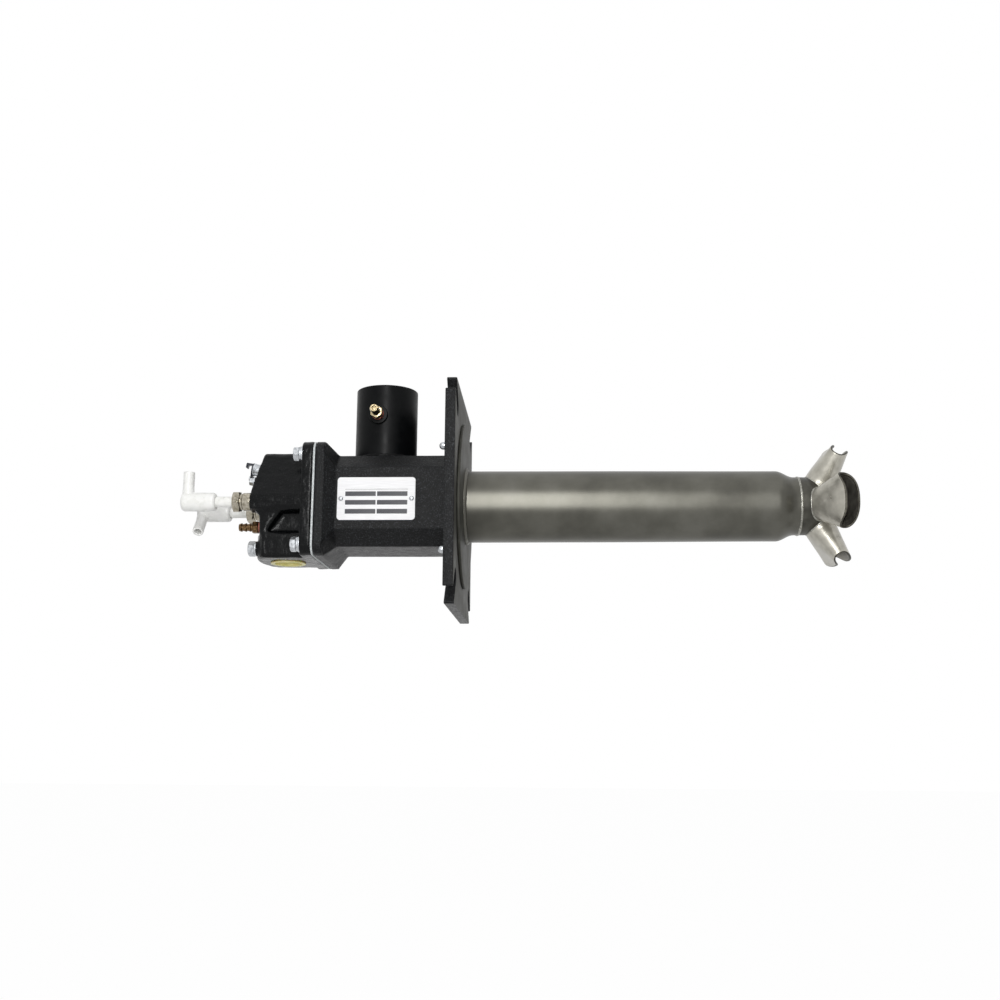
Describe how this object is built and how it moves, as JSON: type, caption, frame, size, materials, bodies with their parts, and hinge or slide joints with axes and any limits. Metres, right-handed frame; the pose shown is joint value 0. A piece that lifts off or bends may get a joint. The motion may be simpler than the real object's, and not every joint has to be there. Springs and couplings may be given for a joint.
{
  "type": "industrial gas burner",
  "caption": "Industrial gas burner with a black housing, air pipe on top, slotted furnace flange, long flame tube and a head of fish-mouth outlets.",
  "frame": {"origin": "on the burner axis, in the front face of the square furnace flange", "axes": "+X along the burner axis towards the outlet head, +Z towards the air inlet pipe, -Y towards the name plate"},
  "size_m": [0.6418, 0.21, 0.2208],
  "materials": {
    "coat": "black speckled powder coat",
    "pipe_paint": "black paint",
    "bare_steel": "bare rolled steel",
    "tube_steel": "heat resistant steel, dull",
    "head_steel": "dark scaled steel",
    "outlet_steel": "bright satin stainless steel",
    "weld": "bright weld metal",
    "zinc": "zinc plated",
    "dark_zinc": "blackened",
    "nickel": "nickel plated",
    "brass": "bare brass",
    "seal": "red-brown sealing washer",
    "ceramic": "white sintered ceramic",
    "cap_white": "smooth white",
    "heating_wire": "oxidised wire",
    "gasket": "pressed fibre sheet",
    "yellow_plastic": "moulded",
    "plate": "anodised",
    "glass": "clear"
  },
  "bodies": {
    "burner": {"air_disc": "bare_steel", "air_inlet_pipe": "pipe_paint", "air_test_nipple": "brass", "air_test_nipple_washer": "seal", "body_screw_1": "zinc", "body_screw_2": "zinc", "body_screw_3": "zinc", "body_screw_4": "zinc", "cover_bolt_1": "zinc", "cover_bolt_2": "zinc", "cover_bolt_3": "zinc", "cover_bolt_4": "zinc", "cover_gasket": "gasket", "cover_washer_1": "zinc", "cover_washer_2": "zinc", "cover_washer_3": "zinc", "cover_washer_4": "zinc", "disc_screw_1": "zinc", "disc_screw_2": "zinc", "disc_screw_3": "zinc", "disc_screw_4": "zinc", "earth_screw": "zinc", "earth_screw_washer": "zinc", "flame_tube": "tube_steel", "furnace_flange": "coat", "gas_lance": "bare_steel", "gas_nozzle": "bare_steel", "gas_test_nipple": "brass", "gas_test_nipple_washer": "seal", "head_weld_bead": "weld", "housing_body": "coat", "ignition_gland": "nickel", "ignition_insulator": "ceramic", "ignition_rod": "heating_wire", "ionisation_gland": "nickel", "ionisation_insulator": "ceramic", "ionisation_rod": "heating_wire", "name_plate": "plate", "nozzle_head": "head_steel", "nozzle_outlet_back": "outlet_steel", "nozzle_outlet_bottom": "outlet_steel", "nozzle_outlet_front": "outlet_steel", "nozzle_outlet_top": "outlet_steel", "plate_rivet_1": "zinc", "plate_rivet_2": "zinc", "rear_cover": "coat", "screw_plug": "zinc", "screw_plug_washer": "zinc", "sight_flap_pivot": "zinc", "sight_glass": "glass", "sight_glass_sleeve": "zinc", "tube_flange_disc": "bare_steel"},
    "air_nipple_screw": {"air_test_nipple_screw": "brass"},
    "gas_nipple_screw": {"gas_test_nipple_screw": "brass"},
    "ignition_contact": {"ignition_contact": "nickel"},
    "ignition_cap": {"ignition_cap": "cap_white"},
    "ionisation_contact": {"ionisation_contact": "nickel"},
    "ionisation_cap": {"ionisation_cap": "cap_white"},
    "sight_flap": {"sight_flap": "dark_zinc"},
    "inlet_plug": {"gas_inlet_plug": "yellow_plastic"}
  },
  "joints": [
    {"name": "air_test_screw_turn", "type": "hinge", "parent": "burner", "child": "air_nipple_screw", "pos_m": [-0.08192, -0.04932, 0.0855], "axis": [-0.0349, -0.9994, 0], "range_deg": [0, 720]},
    {"name": "gas_test_screw_turn", "type": "hinge", "parent": "burner", "child": "gas_nipple_screw", "pos_m": [-0.2097, -0.014, -0.0224], "axis": [-1, 0, 0], "range_deg": [0, 720]},
    {"name": "ignition_cap_pull", "type": "slide", "parent": "burner", "child": "ignition_contact", "axis": [-1, 0, 0], "range_m": [0, 0.03]},
    {"name": "ignition_cap_swivel", "type": "hinge", "parent": "ignition_contact", "child": "ignition_cap", "pos_m": [-0.2642, -0.0285, 0], "axis": [-1, 0, 0], "continuous": true},
    {"name": "ionisation_cap_pull", "type": "slide", "parent": "burner", "child": "ionisation_contact", "axis": [-1, 0, 0], "range_m": [0, 0.03]},
    {"name": "ionisation_cap_swivel", "type": "hinge", "parent": "ionisation_contact", "child": "ionisation_cap", "pos_m": [-0.2642, 0.0285, 0], "axis": [-1, 0, 0], "continuous": true},
    {"name": "sight_flap_swing", "type": "hinge", "parent": "burner", "child": "sight_flap", "pos_m": [-0.19872, 0, 0.02674], "axis": [-0.9847, 0, 0.1745], "range_deg": [0, 100]},
    {"name": "inlet_plug_pull", "type": "slide", "parent": "burner", "child": "inlet_plug", "axis": [0, 0, -1], "range_m": [0, 0.03]}
  ]
}
